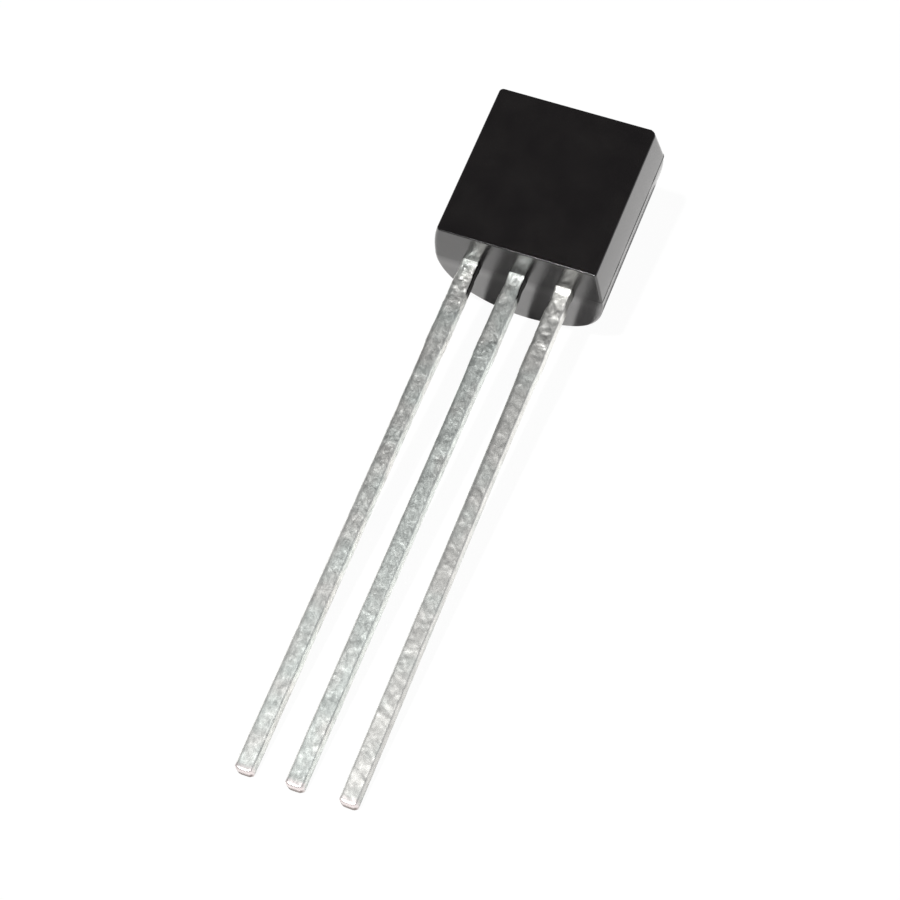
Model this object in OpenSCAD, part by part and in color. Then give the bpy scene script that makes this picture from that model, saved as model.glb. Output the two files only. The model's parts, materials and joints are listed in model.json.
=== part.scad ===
// Three-lead moulded transistor in a half-round, flat-fronted body, millimetres.
// The pieces are drawn standing up: x runs across the flat, y from the flat to
// the round back, z up the body, and z = 0 is the underside where the leads come
// out. lay_down() then puts the part on its round back with the flat upwards, the
// way it comes to rest: the back's lower rim and the lead tips touch z = 0.

/* [Body] */
// Width across the parting line
body_w = 4.6; // [4.2:0.05:5.2]
// Height at the parting line, along the leads
body_h = 4.68; // [4.4:0.01:5.2]
// From the flat front to the middle of the leads
flat_to_leads = 1.18; // [1:0.02:1.4]
// From the middle of the leads to the round back
leads_to_back = 2.44; // [2.1:0.02:2.6]
// Draft of the front half's side walls, in degrees
side_draft = 7; // [1:0.5:9]
// Draft of the front half's top and underside, in degrees
front_end_draft = 3; // [1:0.5:7]
// Draft of the back half's top and underside, in degrees
back_end_draft = 5.5; // [1:0.5:9]
// Bevel of the four corners seen from the front
corner_bevel = 0.06; // [0.04:0.01:0.3]
// Width of the softened edge round the flat
flat_edge = 0.03; // [0.02:0.01:0.12]
// Width of the softened rim round the back
back_rim = 0.05; // [0.02:0.01:0.15]

/* [Mould marks] */
// Diameter of the ejector mark on the round back
ejector_d = 1.5; // [0.8:0.1:1.6]
// Depth of the ejector mark below the round back, at its middle
ejector_depth = 0.16; // [0.14:0.01:0.3]
// Width of the broken gate on the top
gate_w = 0.9; // [0.4:0.1:1.5]
// Thickness of the broken gate
gate_t = 0.24; // [0.1:0.02:0.4]
// Height of the broken gate above the top
gate_h = 0.06; // [0.02:0.01:0.12]
// Thickness of the witness line where the mould halves met
witness_t = 0.04; // [0.02:0.01:0.08]
// Height of the witness line above the walls
witness_h = 0.012; // [0.005:0.001:0.03]

/* [Leads] */
// Spacing of the leads
lead_pitch = 1.27; // [1.2:0.01:1.4]
// Width of a lead
lead_w = 0.45; // [0.38:0.01:0.55]
// Thickness of the lead frame's sheet
lead_t = 0.4; // [0.36:0.01:0.5]
// Length of the leads below the body
lead_l = 14.45; // [12.7:0.05:16]
// Width of a lead where it leaves the body
neck_w = 0.41; // [0.34:0.01:0.5]
// Length of the narrow neck below the body
neck_l = 0.35; // [0.2:0.05:0.6]
// Width of the shoulder that the cut dam bar leaves
shoulder_w = 0.51; // [0.46:0.01:0.7]
// Length from the body to the end of the shoulder
shoulder_l = 2.5; // [1.5:0.1:4]
// Bevel of the corners at the lead tips
tip_bevel = 0.06; // [0.02:0.01:0.12]
// Sideways lean of the collector lead's tip
collector_lean = 0.08; // [0:0.01:0.2]

/* [Lead frame inside the body] */
// Depth of the bond posts' feet above the underside
post_foot = 1.3; // [1:0.05:1.5]
// Height of the base post's head
base_post_h = 0.6; // [0.4:0.05:0.7]
// Width of the base post's head
base_post_w = 0.8; // [0.6:0.05:0.9]
// Height of the emitter post's head
emitter_post_h = 1.5; // [0.8:0.05:1.7]
// Width of the emitter post's head
emitter_post_w = 0.7; // [0.5:0.05:0.75]
// Clear gap between neighbouring pieces of the lead frame
frame_gap = 0.3; // [0.2:0.01:0.4]
// Height of the paddle that carries the die
paddle_h = 1.5; // [1.1:0.05:1.6]
// How far the paddle reaches past the middle of the base lead
paddle_reach = 0.55; // [0.45:0.01:0.6]
// Depth of the locking notches in the lead stems
notch = 0.07; // [0.04:0.01:0.1]

/* [Die and wires] */
// Side of the square silicon die
die_w = 0.5; // [0.3:0.02:0.6]
// Thickness of the die
die_t = 0.2; // [0.1:0.01:0.3]
// Thickness of the die attach layer
attach_t = 0.03; // [0.02:0.005:0.05]
// Width of the attach layer's fillet beyond the die
attach_rim = 0.05; // [0.02:0.01:0.1]
// Diameter of the bond wires
wire_d = 0.05; // [0.025:0.005:0.075]
// Width of the ball at the die end of a wire
ball_d = 0.11; // [0.08:0.01:0.14]
// Thickness of that ball
ball_t = 0.03; // [0.02:0.005:0.05]
// Height of a wire's loop above the straight line between its ends
wire_rise = 0.42; // [0.3:0.02:0.5]

/* [Hidden] */

black_epoxy = [0.09, 0.09, 0.09];
tin_plate = [0.74, 0.75, 0.74];
silicon = [0.35, 0.37, 0.42];
silver_epoxy = [0.62, 0.62, 0.6];
gold_wire = [0.85, 0.66, 0.25];

reach = 3 * body_w;                // longer than any cut needs
round_fn = 96;

// body
back_r = body_w / 2;                             // the back is a half cylinder
back_y = leads_to_back - back_r;                 // its axis
side_in = flat_to_leads * tan(side_draft);
front_rise = flat_to_leads * tan(front_end_draft);
back_rise = leads_to_back * tan(back_end_draft);

// lying on the back's lower rim and the lead tips
tip_y = lead_t / 2;
rim_z = back_rise + back_rim;                    // the back touches the floor here
tilt = atan((leads_to_back - tip_y) / (lead_l + rim_z));
floor_drop = tip_y * cos(tilt) + lead_l * sin(tilt);
rim_end = leads_to_back * sin(tilt) + (body_h - back_rise) * cos(tilt);
gate_end = gate_t / 2 * sin(tilt) + (body_h + gate_h) * cos(tilt);
body_end = max(rim_end, gate_end);
lead_end = -tip_y * sin(tilt) - lead_l * cos(tilt);

// lead frame, all of it between y = -lead_t / 2 and y = lead_t / 2
emitter_x = -lead_pitch;
base_x = 0;
collector_x = lead_pitch;
scar_l = 0.45;                                   // length of the dam bar's cut end
scar_h = 0.02;                                   // how far it stands out of the shoulder
shoulder_taper = 0.3;
neck_taper = 0.08;
notch_z = post_foot / 2;
post_taper = 0.2;
base_head = post_foot + base_post_h;
emitter_head = post_foot + emitter_post_h;
paddle_z = base_head + frame_gap;
paddle_left = base_x - paddle_reach;
paddle_right = collector_x + lead_w / 2;
emitter_post_x = paddle_left - frame_gap - emitter_post_w / 2;

// die, on the paddle's front face above the base post
die_x = base_x + paddle_reach / 4;
die_z = paddle_z + paddle_h / 2;
pad_step = die_w / 5;                            // from the die's middle to each bond pad
emitter_pad = [die_x - pad_step, die_z + pad_step];
base_pad = [die_x + pad_step / 2, die_z - pad_step];
emitter_stitch = [emitter_post_x, emitter_head - emitter_post_w / 2];
base_stitch = [base_x, base_head - base_post_h / 2];

// ---- body ----

// The outline seen from the front, drawn in by side_gap and end_gap, as eight corners
function front_outline(side_gap, end_gap) =
    let (x = body_w / 2 - side_gap, low = end_gap, high = body_h - end_gap, c = corner_bevel)
    [[x, low + c], [x, high - c], [x - c, high], [c - x, high],
     [-x, high - c], [-x, low + c], [c - x, low], [x - c, low]];

function ring(y, outline) = [for (p = outline) [p[0], y, p[1]]];

// The drafted front half: the parting line, the start of the softened edge, the flat
module front_half() {
    share = 1 - flat_edge / flat_to_leads;
    flat_y = -flat_to_leads;
    corners = concat(ring(0, front_outline(0, 0)),
                     ring(flat_y + flat_edge, front_outline(share * side_in, share * front_rise)),
                     ring(flat_y, front_outline(side_in + flat_edge, front_rise + flat_edge)));
    walls = [for (r = [0, 8], i = [0:7]) [r + i, r + 8 + i, r + 8 + (i + 1) % 8, r + (i + 1) % 8]];
    polyhedron(corners, concat(walls, [[for (i = [0:7]) i], [for (i = [23:-1:16]) i]]));
}

// A cone square to the sloping underside, which bevels the rim round the half cylinder
module rim_cone() {
    translate([0, back_y, back_y * tan(back_end_draft)]) rotate([back_end_draft, 0, 0])
        cylinder(h = reach, r1 = back_r - back_rim, r2 = back_r - back_rim + reach, $fn = round_fn);
}

// The half cylinder at the back, whose top and underside draw in towards the back
module back_half() {
    intersection() {
        union() {
            translate([0, back_y, 0]) cylinder(h = body_h, r = back_r, $fn = round_fn);
            translate([-back_r, 0, 0]) cube([body_w, back_y, body_h]);
        }
        rotate([90, 0, 90]) linear_extrude(height = reach, center = true)
            polygon([[0, 0], [leads_to_back, back_rise], [leads_to_back, body_h - back_rise], [0, body_h]]);
        rotate([90, 0, 0]) linear_extrude(height = reach, center = true)
            polygon(front_outline(0, 0));
        rim_cone();
        translate([0, 0, body_h]) mirror([0, 0, 1]) rim_cone();
    }
}

// The thin raised line round the parting plane
module witness_line() {
    translate([0, witness_t / 2, 0]) rotate([90, 0, 0]) linear_extrude(height = witness_t)
        polygon(front_outline(-witness_h, -witness_h));
}

module broken_gate() {
    translate([-gate_w / 2, -gate_t / 2, body_h - gate_h])
        cube([gate_w, gate_t, 2 * gate_h]);
}

module ejector_mark() {
    translate([0, leads_to_back - ejector_depth, body_h / 2]) rotate([-90, 0, 0])
        cylinder(h = reach, d = ejector_d, $fn = round_fn);
}

module moulding() {
    difference() {
        union() {
            front_half();
            back_half();
            witness_line();
            broken_gate();
        }
        ejector_mark();
    }
}

// ---- lead frame ----

// Turns a shape stamped in the x-z plane into sheet as thick as the frame
module stamped() {
    translate([0, lead_t / 2, 0]) rotate([90, 0, 0]) linear_extrude(height = lead_t) children();
}

// One side of a lead, from the locking notch down to the tip; side is 1 or -1
function stem_side(side, lean) =
    let (neck = side * neck_w / 2, shoulder = side * shoulder_w / 2,
         scar = side * (shoulder_w / 2 + scar_h), tip = side * lead_w / 2)
    [[neck, notch_z + notch], [neck - side * notch, notch_z], [neck, notch_z - notch],
     [neck, -neck_l], [shoulder, -neck_l - neck_taper],
     [shoulder, scar_l - shoulder_l], [scar, scar_l - shoulder_l],
     [scar, -shoulder_l], [shoulder, -shoulder_l],
     [tip, -shoulder_l - shoulder_taper],
     [lean + tip, tip_bevel - lead_l], [lean + tip - side * tip_bevel, -lead_l]];

function backwards(list) = [for (i = [len(list) - 1:-1:0]) list[i]];

// A stamped lead at x, with the outline of its head given clockwise from the stem
module lead(x, head, lean = 0) {
    stamped() translate([x, 0])
        polygon(concat(backwards(stem_side(-1, lean)), head, stem_side(1, lean)));
}

// A stem widening to a post's head, shifted sideways from the stem by shift
function post_head(shift, w, top) =
    [[-neck_w / 2, post_foot - post_taper], [shift - w / 2, post_foot], [shift - w / 2, top],
     [shift + w / 2, top], [shift + w / 2, post_foot], [neck_w / 2, post_foot - post_taper]];

module emitter_frame() {
    lead(emitter_x, post_head(emitter_post_x - emitter_x, emitter_post_w, emitter_head));
}

module base_frame() {
    lead(base_x, post_head(0, base_post_w, base_head));
}

module collector_frame() {
    left = paddle_left - collector_x;
    right = paddle_right - collector_x;
    top = paddle_z + paddle_h;
    lead(collector_x, [[-neck_w / 2, paddle_z], [left, paddle_z], [left, top],
                       [right, top], [right, paddle_z], [neck_w / 2, paddle_z]], collector_lean);
}

// ---- die and wires ----

module block_on_paddle(w, thickness, lift) {
    translate([die_x - w / 2, -lead_t / 2 - lift - thickness, die_z - w / 2])
        cube([w, thickness, w]);
}

module silicon_die() {
    block_on_paddle(die_w, die_t, attach_t);
}

module attach_layer() {
    block_on_paddle(die_w + 2 * attach_rim, attach_t, 0);
}

// A wire from a pad on the die's face down to a stitch on a post's face: an arc
// in the plane that stands on both ends, cut off at the two faces, with a ball on
// the pad. In that plane x runs from pad to stitch and y away from the frame.
module bond_wire(pad, stitch) {
    run = norm(stitch - pad);
    drop = attach_t + die_t;
    chord = norm([run, drop]);
    loop = (chord * chord / 4 + wire_rise * wire_rise) / (2 * wire_rise);
    sag = loop - wire_rise;
    centre = [run / 2 - sag * drop / chord, drop / 2 - sag * run / chord];
    clear = run / 2 + loop;
    translate([pad[0], -lead_t / 2, pad[1]])
        rotate([0, atan2(pad[1] - stitch[1], stitch[0] - pad[0]), 0]) rotate([180, 0, 0]) {
            intersection() {
                translate([centre[0], centre[1], 0])
                    rotate_extrude($fn = round_fn) translate([loop, 0]) circle(d = wire_d, $fn = 8);
                linear_extrude(height = 2 * wire_d, center = true)
                    polygon([[-clear, drop], [run / 2, drop], [run / 2, 0], [clear, 0],
                             [clear, clear], [-clear, clear]]);
            }
            translate([0, drop + ball_t / 2, 0]) rotate([90, 0, 0])
                cylinder(h = ball_t, d = ball_d, center = true, $fn = 8);
        }
}

module emitter_wire() {
    bond_wire(emitter_pad, emitter_stitch);
}

module base_wire() {
    bond_wire(base_pad, base_stitch);
}

// ---- the pieces as they lie ----

module lay_down() {
    translate([0, -(body_end + lead_end) / 2, floor_drop]) rotate([tilt - 90, 0, 0]) children();
}

module body() {
    color(black_epoxy) lay_down() difference() {
        moulding();
        emitter_frame();
        base_frame();
        collector_frame();
        silicon_die();
        attach_layer();
        emitter_wire();
        base_wire();
    }
}

module emitter_lead() {
    color(tin_plate) lay_down() emitter_frame();
}

module base_lead() {
    color(tin_plate) lay_down() base_frame();
}

module collector_lead() {
    color(tin_plate) lay_down() collector_frame();
}

module die() {
    color(silicon) lay_down() silicon_die();
}

module die_attach() {
    color(silver_epoxy) lay_down() attach_layer();
}

module emitter_bond_wire() {
    color(gold_wire) lay_down() emitter_wire();
}

module base_bond_wire() {
    color(gold_wire) lay_down() base_wire();
}

body();
emitter_lead();
base_lead();
collector_lead();
die();
die_attach();
emitter_bond_wire();
base_bond_wire();
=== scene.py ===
# A three-lead transistor in a half-round moulded body, lying on its back with the flat upwards.
# The pieces are drawn standing, in millimetres: x across the flat, y towards the round back and
# z up the body from the face where the leads come out. Then they are laid down in the frame.
import json
from math import atan2, cos, pi, radians, sin, tan

import bmesh
import bpy
from mathutils import Matrix, Quaternion, Vector, noise


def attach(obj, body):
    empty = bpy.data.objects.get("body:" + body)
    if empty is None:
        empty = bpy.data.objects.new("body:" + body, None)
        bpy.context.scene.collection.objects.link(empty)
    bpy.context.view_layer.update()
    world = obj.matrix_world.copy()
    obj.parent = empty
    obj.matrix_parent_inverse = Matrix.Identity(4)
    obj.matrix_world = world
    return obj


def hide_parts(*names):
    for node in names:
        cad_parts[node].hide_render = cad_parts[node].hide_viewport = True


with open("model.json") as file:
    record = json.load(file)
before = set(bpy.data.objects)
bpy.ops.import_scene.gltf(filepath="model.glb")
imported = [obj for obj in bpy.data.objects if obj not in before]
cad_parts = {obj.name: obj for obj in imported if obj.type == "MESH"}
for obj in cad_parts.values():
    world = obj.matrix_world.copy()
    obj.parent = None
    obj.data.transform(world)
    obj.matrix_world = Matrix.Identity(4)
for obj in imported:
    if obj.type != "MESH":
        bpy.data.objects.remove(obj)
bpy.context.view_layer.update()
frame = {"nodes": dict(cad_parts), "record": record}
scene = bpy.context.scene
mm = 0.001

# The two mounts give the standing axes: the flat faces one way, the leads point the other
mounts = {mount["name"]: mount for mount in frame["record"]["mounts"]}
towardsBack = -Vector(mounts["flat_front"]["axis"])
towardsTop = -Vector(mounts["lead_row"]["axis"])
across = towardsBack.cross(towardsTop)
standing = (Matrix.Translation(mounts["lead_row"]["pos_m"])
            @ Matrix((across, towardsBack, towardsTop)).transposed().to_4x4()
            @ Matrix.Scale(mm, 4))
print("frame loaded:", len(frame["nodes"]), "nodes")


def feed(tree, socket, value):
    if isinstance(value, bpy.types.NodeSocket):
        tree.links.new(value, socket)
    else:
        socket.default_value = value


def addNode(tree, kind, inputs=None, **settings):
    node = tree.nodes.new(kind)
    for setting, value in settings.items():
        setattr(node, setting, value)
    for name, value in (inputs or {}).items():
        feed(tree, node.inputs[name], value)
    return node


def calculate(tree, operation, *values):
    node = addNode(tree, "ShaderNodeMath", operation=operation)
    for socket, value in zip(node.inputs, values):
        feed(tree, socket, value)
    return node.outputs[0]


def total(tree, first, *others):
    for value in others:
        first = calculate(tree, "ADD", first, value)
    return first


def product(tree, first, *others):
    for value in others:
        first = calculate(tree, "MULTIPLY", first, value)
    return first


def magnitude(tree, value):
    return calculate(tree, "ABSOLUTE", value)


def atLeast(tree, low, value):
    return calculate(tree, "MAXIMUM", value, low)


def mapRange(tree, value, fromLow, fromHigh, toLow=0.0, toHigh=1.0):
    inputs = {"Value": value, "From Min": fromLow, "From Max": fromHigh, "To Min": toLow, "To Max": toHigh}
    return addNode(tree, "ShaderNodeMapRange", inputs).outputs["Result"]


def mixColour(tree, share, first, second, blend="MIX"):
    node = addNode(tree, "ShaderNodeMix", {"Factor": share}, data_type="RGBA", blend_type=blend)
    feed(tree, node.inputs[6], first)
    feed(tree, node.inputs[7], second)
    return node.outputs[2]


def tinted(tree, first, second):
    return mixColour(tree, 1.0, first, second, "MULTIPLY")


def noiseAt(tree, place, scale, detail=3.0, roughness=0.5, distortion=0.0):
    inputs = {"Vector": place, "Scale": scale, "Detail": detail, "Roughness": roughness,
              "Distortion": distortion}
    return addNode(tree, "ShaderNodeTexNoise", inputs).outputs[0]


def vectorOf(tree, x=0.0, y=0.0, z=0.0):
    return addNode(tree, "ShaderNodeCombineXYZ", {"X": x, "Y": y, "Z": z}).outputs[0]


def partsOf(tree, vector):
    return addNode(tree, "ShaderNodeSeparateXYZ", {0: vector}).outputs


def vectorMath(tree, operation, first, second):
    node = addNode(tree, "ShaderNodeVectorMath", {0: first, 1: second}, operation=operation)
    return node.outputs["Value" if operation == "DOT_PRODUCT" else "Vector"]


def stretched(tree, place, scale, shift=(0, 0, 0)):
    inputs = {"Vector": place, "Location": shift, "Scale": scale}
    return addNode(tree, "ShaderNodeMapping", inputs).outputs["Vector"]


def turnedFlat(tree, place, angle):
    # Turned about the axis square to the flat
    node = addNode(tree, "ShaderNodeVectorRotate", {"Vector": place, "Angle": angle}, rotation_type="Y_AXIS")
    return node.outputs[0]


camera = {
    "place": (14.686, -31.970, 51.814),     # mm
    "looks": (-0.23735, 0.51836, -0.82157),
    "roll": -2.975,                         # degrees
    "lens": 98.93,
    "sensor": 36,
    "clip": (0.001, 10),                    # m
}

studio = {
    "floorSize": 0.6,                       # m
    "floorBelow": 0.002,                    # mm
    "floorColour": (0.96, 0.95, 0.94, 1),
    "backgroundShare": 0.96,                # how much of the floor the camera sees as plain white
    "mirroredShare": 0.02,                  # the same for what mirrors the floor
    "keyFrom": (-0.10, -0.38, 0.92),
    "keyStrength": 4.0,
    "keyAngle": 3.0,                        # degrees
    "pale": (0.46, 0.46, 0.47, 1),
    "dark": (0.050, 0.050, 0.052, 1),
    "darkAround": (-0.20, 0.80, 0.56),
    "darkUntil": 0.80,                      # cosines of the angle from the middle of the dark part
    "darkFrom": 0.54,
    "shade": (0.10, 0.10, 0.10, 1),         # the sky in front, which fills the shadows under the leads
    "shadeAround": (0.0, -0.90, 0.43),
    "shadeUntil": 0.75,
    "shadeFrom": 0.30,
    "bright": (0.905, 0.908, 0.935, 1),
    "brightAround": (0.93, 0.30, 0.20),
    "brightUntil": 0.90,
    "brightFrom": 0.60,
}


def makeCamera():
    data = bpy.data.cameras.new("camera")
    data.lens = camera["lens"]
    data.sensor_width = camera["sensor"]
    data.clip_start, data.clip_end = camera["clip"]
    eye = bpy.data.objects.new("camera", data)
    scene.collection.objects.link(eye)
    eye.location = Vector(camera["place"]) * mm
    level = Vector(camera["looks"]).to_track_quat("-Z", "Y")
    eye.rotation_mode = "QUATERNION"
    eye.rotation_quaternion = level @ Quaternion((0, 0, 1), radians(camera["roll"]))
    scene.camera = eye


def makeFloor():
    half, low = studio["floorSize"] / 2, -studio["floorBelow"] * mm
    corners = [(-half, -half, low), (half, -half, low), (half, half, low), (-half, half, low)]
    mesh = bpy.data.meshes.new("floor")
    mesh.from_pydata(corners, [], [(0, 1, 2, 3)])
    floor = bpy.data.objects.new("floor", mesh)
    scene.collection.objects.link(floor)
    material = bpy.data.materials.new("floor")
    material.use_nodes = True
    tree = material.node_tree
    tree.nodes.clear()
    ray = addNode(tree, "ShaderNodeLightPath").outputs
    seen = calculate(tree, "MAXIMUM", ray["Is Camera Ray"], ray["Is Transmission Ray"])
    seen = product(tree, seen, studio["backgroundShare"])
    mirrored = product(tree, ray["Is Glossy Ray"], studio["mirroredShare"])
    share = calculate(tree, "MAXIMUM", seen, mirrored)
    paint = addNode(tree, "ShaderNodeBsdfDiffuse", {"Color": studio["floorColour"]})
    white = addNode(tree, "ShaderNodeEmission", {"Strength": 1.0})
    mix = addNode(tree, "ShaderNodeMixShader", {0: share, 1: paint.outputs[0], 2: white.outputs[0]})
    addNode(tree, "ShaderNodeOutputMaterial", {"Surface": mix.outputs[0]})
    mesh.materials.append(material)


def makeLight():
    data = bpy.data.lights.new("keyLamp", "SUN")
    data.energy = studio["keyStrength"]
    data.angle = radians(studio["keyAngle"])
    lamp = bpy.data.objects.new("keyLamp", data)
    scene.collection.objects.link(lamp)
    lamp.rotation_mode = "QUATERNION"
    lamp.rotation_quaternion = Vector(studio["keyFrom"]).to_track_quat("Z", "Y")
    world = bpy.data.worlds.new("studio")
    world.use_nodes = True
    scene.world = world
    tree = world.node_tree
    direction = addNode(tree, "ShaderNodeTexCoord").outputs["Generated"]
    colour = studio["pale"]
    for part in ("dark", "shade", "bright"):
        nearness = vectorMath(tree, "DOT_PRODUCT", direction, Vector(studio[part + "Around"]).normalized())
        share = mapRange(tree, nearness, studio[part + "From"], studio[part + "Until"])
        colour = mixColour(tree, share, colour, studio[part])
    tree.links.new(colour, tree.nodes["Background"].inputs["Color"])


makeCamera()
makeFloor()
makeLight()
scene.view_settings.view_transform = "Standard"
print("camera, floor and light made")


def startMaterial(name):
    material = bpy.data.materials.new(name)
    material.use_nodes = True
    tree = material.node_tree
    shader = tree.nodes["Principled BSDF"]
    place, turn, size = standing.inverted().decompose()
    coordinates = addNode(tree, "ShaderNodeTexCoord").outputs["Object"]
    inputs = {"Vector": coordinates, "Location": place, "Rotation": turn.to_euler(), "Scale": size}
    drawn = addNode(tree, "ShaderNodeMapping", inputs).outputs["Vector"]   # mm along the standing axes
    return material, tree, shader, drawn


def addBump(tree, shader, height, depth, strength=1.0):
    inputs = {"Height": height, "Distance": depth * mm, "Strength": strength}
    bump = addNode(tree, "ShaderNodeBump", inputs)
    tree.links.new(bump.outputs["Normal"], shader.inputs["Normal"])


# A noise is given by its scale per mm, detail, roughness and distortion
epoxyFinish = {
    "colour": (0.0060, 0.0052, 0.0054, 1),
    "bloom": (0.0095, 0.0084, 0.0080, 1),   # the paler skin that moulding leaves in places
    "bloomShare": 0.6,
    "cloudNoise": (0.9, 5.0, 0.6, 0.4),
    "cloudRange": (0.35, 0.7),
    "grainNoise": (38.0, 3.0, 0.6),
    "grainDepth": 0.0012,                   # mm
    "cloudRough": 0.7,                      # what the cloud and the grain add to the roughness
    "grainRough": 0.3,
    "roughBetween": (0.1, 0.8, 0.13, 0.19),
    "ior": 1.7,
}


def makeEpoxy():
    material, tree, shader, drawn = startMaterial("blackEpoxy")
    s = epoxyFinish
    cloud = mapRange(tree, noiseAt(tree, drawn, *s["cloudNoise"]), *s["cloudRange"])
    grain = noiseAt(tree, drawn, *s["grainNoise"])
    colour = mixColour(tree, product(tree, cloud, s["bloomShare"]), s["colour"], s["bloom"])
    tree.links.new(colour, shader.inputs["Base Color"])
    mixed = total(tree, product(tree, cloud, s["cloudRough"]), product(tree, grain, s["grainRough"]))
    tree.links.new(mapRange(tree, mixed, *s["roughBetween"]), shader.inputs["Roughness"])
    shader.inputs["IOR"].default_value = s["ior"]
    addBump(tree, shader, grain, s["grainDepth"])
    return material


blackEpoxy = makeEpoxy()
print("resin material made")


def addPiece(name, mesh, material, node):
    mesh.transform(standing)
    mesh.materials.clear()
    mesh.materials.append(material)
    piece = bpy.data.objects.new(name, mesh)
    scene.collection.objects.link(piece)
    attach(piece, "root")
    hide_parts(node)


def evaluated(source):
    graph = bpy.context.evaluated_depsgraph_get()
    return bpy.data.meshes.new_from_object(source.evaluated_get(graph))


def scratchObject(name, mesh):
    holder = bpy.data.objects.new(name, mesh)
    scene.collection.objects.link(holder)
    return holder


def meshFrom(shape, name):
    mesh = bpy.data.meshes.new(name)
    shape.to_mesh(mesh)
    shape.free()
    return mesh


moulding = {
    "width": 4.6,
    "height": 4.68,
    "front": 1.18,                  # from the middle of the leads to the flat
    "back": 2.44,
    "sideDraft": 7,                 # degrees, from the parting to the flat
    "leftCrown": 2.6,               # 1 makes the side straight, more makes it bulge
    "rightCrown": 1.15,
    "topRise": 0.09,                # how much the upper end stands higher at the parting
    "riseCurve": 4,                 # how fast that fades down the body
    "frontDraft": 3,
    "backDraft": 5.5,
    "rightRound": (0.055, 0.13),    # corners between a side and the lower and the upper end
    "leftRound": (0.11, 0.11),
    "rightTopAtFlat": 0.2,
    "leftTopAtFlat": 0.11,
    "easedFrom": -0.05,             # where the ends turn from one draft to the other
    "easedTo": 0.6,
    "backBulge": 0.09,              # on one side of the round back
    "bulgeAt": 44,                  # degrees
    "bulgeSpan": 36,
    "flatEdge": 0.03,
    "backRim": 0.08,
    "rimSettles": 28,               # degrees round the back where the corner has narrowed to the rim
    "edgeSteps": 5,
    "frontDepths": (-1.05, -0.93, -0.8, -0.68, -0.56, -0.45, -0.35, -0.27, -0.2, -0.13, -0.07),
    "behindParting": 0.07,
    "arcSteps": 84,
    "cornerSteps": 7,
    "lineSteps": 44,
    "sharpFrom": 28,                # degrees between two faces
    "witnessWidth": 0.045,
    "witnessHeight": 0.014,
    "witnessSteps": (-1, -0.55, -0.18, 0.18, 0.55, 1),
    "witnessMean": 0.8,
    "witnessNoise": ((2.1, 0.45), (9, 0.3)),    # per mm, share
    "witnessFrom": 2.0,             # it stands on the right side from here outwards
    "witnessRamp": 0.25,
    "witnessLeft": 0.3,             # how much of it stands on the left
    "witnessPatches": (2.7, 0.32),  # per mm, and the noise above which it stands elsewhere
    "ejectorWidth": 1.5,
    "ejectorDepth": 0.16,
    "ejectorSides": 96,
    "cutterLength": 1.0,
    "gateWidth": 0.9,
    "gateThickness": 0.24,
    "gateHeight": 0.05,
    "gateSteps": (26, 8),
    "gateMean": 0.62,
    "gateRough": 0.38,
    "gateNoise": ((9, 14, 3.1, 1.0), (23, 31, 7.7, 0.5)),   # per mm each way, seed, share
    "gateBorder": 0.55,
}


def endProfile(reach, low, slope, lowerRound, upperRound):
    # From the lower end face up one side to the upper end face: distance outwards and height
    s = moulding
    start = atan2(-1, slope)
    arcs = []
    for rounding in (lowerRound, upperRound):
        centre = low - rounding * slope + rounding * (1 + slope ** 2) ** 0.5
        angles = [start * (1 - i / s["cornerSteps"]) for i in range(s["cornerSteps"] + 1)]
        arcs.append([(reach - rounding + rounding * cos(a), centre + rounding * sin(a)) for a in angles])
    lower, upper = arcs
    bottom, top = lower[-1][1], s["height"] - upper[-1][1]
    side = [(reach, bottom + (top - bottom) * i / s["lineSteps"]) for i in range(1, s["lineSteps"])]
    return lower + side + [(out, s["height"] - z) for out, z in upper[::-1]]


def lowerEnd(y):
    # Height of the lower end face: two drafts with a smooth turn between them
    s = moulding
    rise, fall = tan(radians(s["backDraft"])), tan(radians(s["frontDraft"]))
    start, span = s["easedFrom"], s["easedTo"] - s["easedFrom"]
    t = (y - start) / span
    if t <= 0:
        return -y * fall
    if t >= 1:
        return y * rise
    return (-start * fall * (1 + 2 * t) * (1 - t) ** 2 - fall * span * t * (1 - t) ** 2
            + s["easedTo"] * rise * t * t * (3 - 2 * t) + rise * span * t * t * (t - 1))


def lifted(point):
    # The upper end rises a little from the flat and from the back to the parting
    s = moulding
    near = max(0, 1 - abs(point.y) / s["front"])
    point.z += s["topRise"] * near * max(0, point.z / s["height"]) ** s["riseCurve"]
    return point


def depthLoop(y, inset=0.0, extra=0.0):
    # One loop round the moulding at one depth in front of the round back
    s = moulding
    front = max(0, -y) / s["front"]
    low = lowerEnd(y)
    sides = []
    for side in ("right", "left"):
        drawnIn = s["front"] * tan(radians(s["sideDraft"])) * front ** s[side + "Crown"]
        lower, upper = s[side + "Round"]
        upper += (s[side + "TopAtFlat"] - upper) * front
        sides.append(endProfile(s["width"] / 2 - drawnIn - inset + extra, low + inset - extra, 0,
                                lower - inset + extra, upper - inset + extra))
    right, left = sides
    rightInner, leftInner = right[0][0], -left[0][0]
    line = [rightInner + (leftInner - rightInner) * i / s["lineSteps"] for i in range(1, s["lineSteps"])]
    loop = [(x, y, z) for x, z in right] + [(x, y, right[-1][1]) for x in line]
    loop += [(-x, y, z) for x, z in left[::-1]] + [(x, y, right[0][1]) for x in line[::-1]]
    return [lifted(Vector(point)) for point in loop]


def witnessShare(point):
    # The line left at the parting stands along the right side and in patches elsewhere
    s = moulding
    scale, above = s["witnessPatches"]
    outwards = (point.x - s["witnessFrom"]) / s["witnessRamp"]
    eitherWay = (abs(point.x) - s["witnessFrom"]) / s["witnessRamp"]
    present = min(1, max(0, outwards, s["witnessLeft"] * eitherWay, noise.noise(point * scale) - above))
    ragged = sum((share * noise.noise(point * per) for per, share in s["witnessNoise"]), s["witnessMean"])
    return max(0, ragged * present)


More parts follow.
